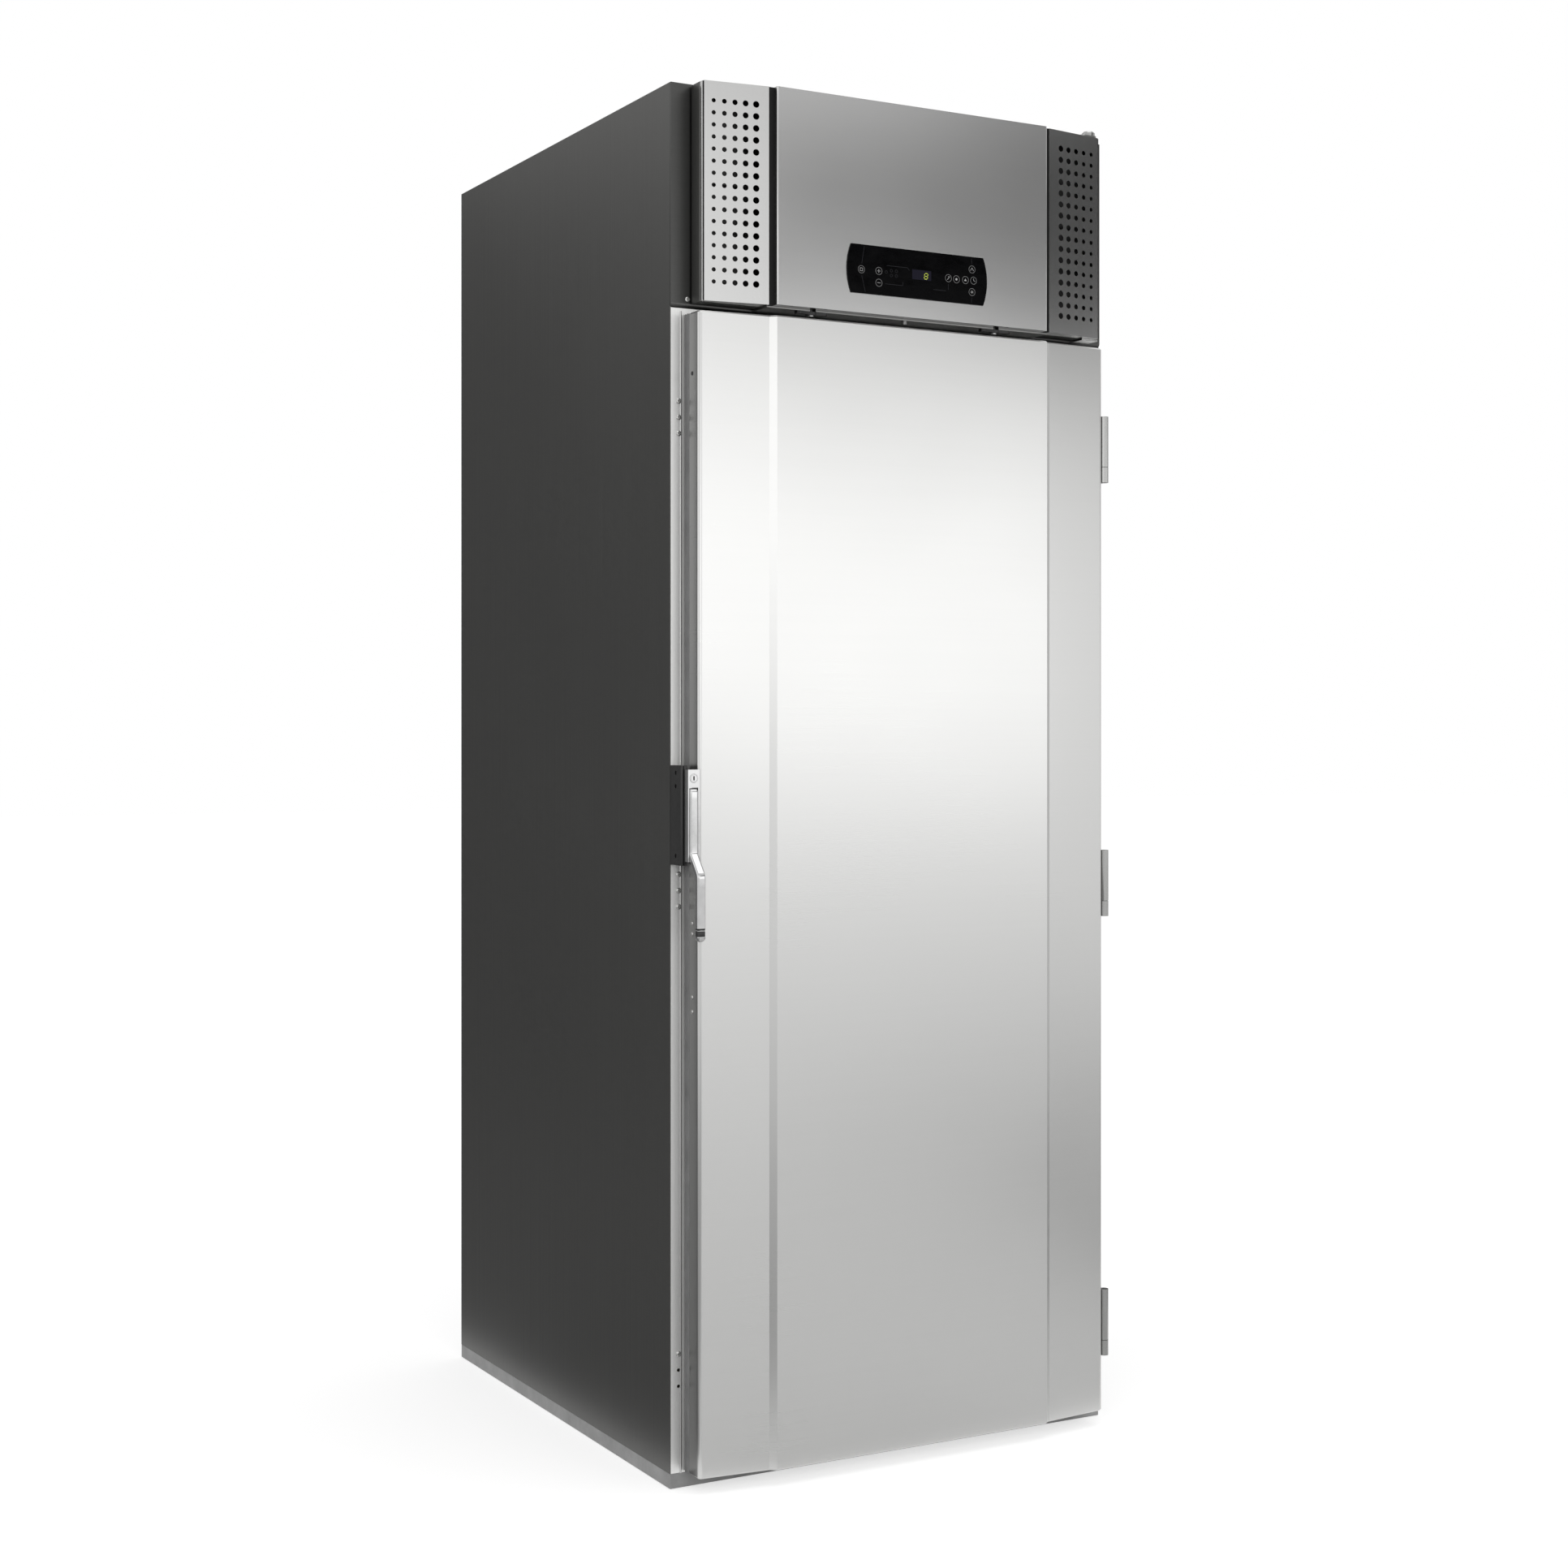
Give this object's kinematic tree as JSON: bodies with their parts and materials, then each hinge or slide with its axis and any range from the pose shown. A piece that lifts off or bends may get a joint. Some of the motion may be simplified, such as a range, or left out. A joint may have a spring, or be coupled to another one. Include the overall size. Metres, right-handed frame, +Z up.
{
  "type": "blast chiller",
  "caption": "Tall roll-in blast chiller cabinet with a full-height hinged door, side pull latch, hinged machine cover with vented sides and a glass touch panel.",
  "frame": {"origin": "middle of the cabinet's footprint, on the floor, with the door and machine cover ahead of it", "axes": "+Z up, +X to the right when facing the door, +Y into the cabinet, so the door faces -Y"},
  "size_m": [0.864, 1.0214, 2.312],
  "materials": {
    "stainless": "vertically brushed",
    "dark_stainless": "brushed, darker",
    "galvanised": "matt zinc",
    "plinth": "smooth",
    "foam": "closed-cell foam",
    "grey_plastic": "fine grain",
    "black_plastic": "satin",
    "gasket": "matt",
    "chrome": "polished",
    "screw_steel": "zinc plated",
    "black_paint": "semi-gloss",
    "fins": "bare fins",
    "copper": "dull copper",
    "control_glass": "gloss black"
  },
  "bodies": {
    "cabinet": {"base_plinth": "plinth", "left_side_panel": "dark_stainless", "right_side_panel": "dark_stainless", "rear_panel": "galvanised", "roof_panel": "galvanised", "upper_front_panel": "dark_stainless", "left_jamb": "stainless", "right_jamb": "stainless", "door_lintel": "stainless", "door_sill": "stainless", "insulation_left": "foam", "insulation_right": "foam", "insulation_rear": "foam", "insulation_ceiling": "foam", "insulation_floor": "foam", "floor_plate": "stainless", "chamber_liner": "stainless", "machine_deck": "galvanised", "trolley_bumpers": "grey_plastic", "latch_keeper": "black_plastic", "cabinet_screws": "screw_steel", "frame_hinge_leaves": "chrome", "cover_hinge_brackets": "stainless", "cover_ledge": "stainless", "compressor": "black_paint", "condenser_coil": "fins", "condenser_fan_shroud": "galvanised", "condenser_fan_motor": "black_paint", "liquid_receiver": "black_paint", "electrical_box": "grey_plastic", "refrigerant_pipes": "copper", "evaporator_coil": "fins", "evaporator_side_plates": "stainless", "drain_pan": "stainless"},
    "door": {"door_skin": "stainless", "door_insulation": "foam", "door_inner_panel": "stainless", "door_gasket": "gasket", "door_hinge_leaves": "chrome", "latch_housing": "chrome", "lever_pivot_pin": "screw_steel"},
    "lever": {"latch_lever": "chrome"},
    "bolt": {"latch_bolt": "black_plastic"},
    "lock": {"lock_cylinder": "chrome"},
    "machine_cover": {"cover_case": "dark_stainless", "cover_centre_panel": "stainless", "cover_left_grille": "stainless", "cover_right_grille": "stainless", "cover_strips": "black_plastic", "control_glass": "control_glass", "control_board": "grey_plastic"},
    "left_knob": {"wing_knob_left": "black_plastic"},
    "right_knob": {"wing_knob_right": "black_plastic"},
    "fan_panel": {"evaporator_fan_panel": "stainless", "evaporator_fan_motors": "black_paint", "evaporator_fan_guards": "screw_steel"},
    "lower_fan": {"evaporator_fan_lower": "black_plastic"},
    "upper_fan": {"evaporator_fan_upper": "black_plastic"},
    "condenser_fan": {"condenser_fan_rotor": "black_plastic"}
  },
  "joints": [
    {"name": "door_swing", "type": "hinge", "parent": "cabinet", "child": "door", "pos_m": [0.4105, -0.5115, 0.967], "axis": [0, 0, 1], "range_deg": [0, 110]},
    {"name": "lever_pull", "type": "hinge", "parent": "door", "child": "lever", "pos_m": [-0.41675, -0.519, 1.14], "axis": [-1, 0, 0], "range_deg": [0, 32], "stiffness_Nm_per_rad": 0.6},
    {"name": "bolt_slide", "type": "slide", "parent": "door", "child": "bolt", "axis": [1, 0, 0], "range_m": [0, 0.005]},
    {"name": "lock_turn", "type": "hinge", "parent": "door", "child": "lock", "pos_m": [-0.41675, -0.5233, 1.163], "axis": [0, -1, 0], "range_deg": [0, 90]},
    {"name": "cover_swing", "type": "hinge", "parent": "cabinet", "child": "machine_cover", "pos_m": [0.39, -0.4925, 2.118], "axis": [0, 0, 1], "range_deg": [0, 100]},
    {"name": "left_knob_turn", "type": "hinge", "parent": "machine_cover", "child": "left_knob", "pos_m": [-0.195, -0.5155, 1.936], "axis": [0, 0, 1], "range_deg": [0, 90]},
    {"name": "right_knob_turn", "type": "hinge", "parent": "machine_cover", "child": "right_knob", "pos_m": [0.171, -0.5155, 1.936], "axis": [0, 0, 1], "range_deg": [0, 90]},
    {"name": "fan_panel_swing", "type": "hinge", "parent": "cabinet", "child": "fan_panel", "pos_m": [-0.31, 0.167, 1], "axis": [0, 0, -1], "range_deg": [0, 90]},
    {"name": "lower_fan_spin", "type": "hinge", "parent": "fan_panel", "child": "lower_fan", "pos_m": [0, 0.2, 0.65], "axis": [0, 1, 0], "continuous": true},
    {"name": "upper_fan_spin", "type": "hinge", "parent": "fan_panel", "child": "upper_fan", "pos_m": [0, 0.2, 1.35], "axis": [0, 1, 0], "continuous": true},
    {"name": "condenser_fan_spin", "type": "hinge", "parent": "cabinet", "child": "condenser_fan", "pos_m": [-0.032, -0.25, 2.105], "axis": [0, 1, 0], "continuous": true}
  ],
  "couplings": [
    {"joint": "bolt_slide", "follows": "lever_pull", "m_per_rad": 0.008}
  ]
}
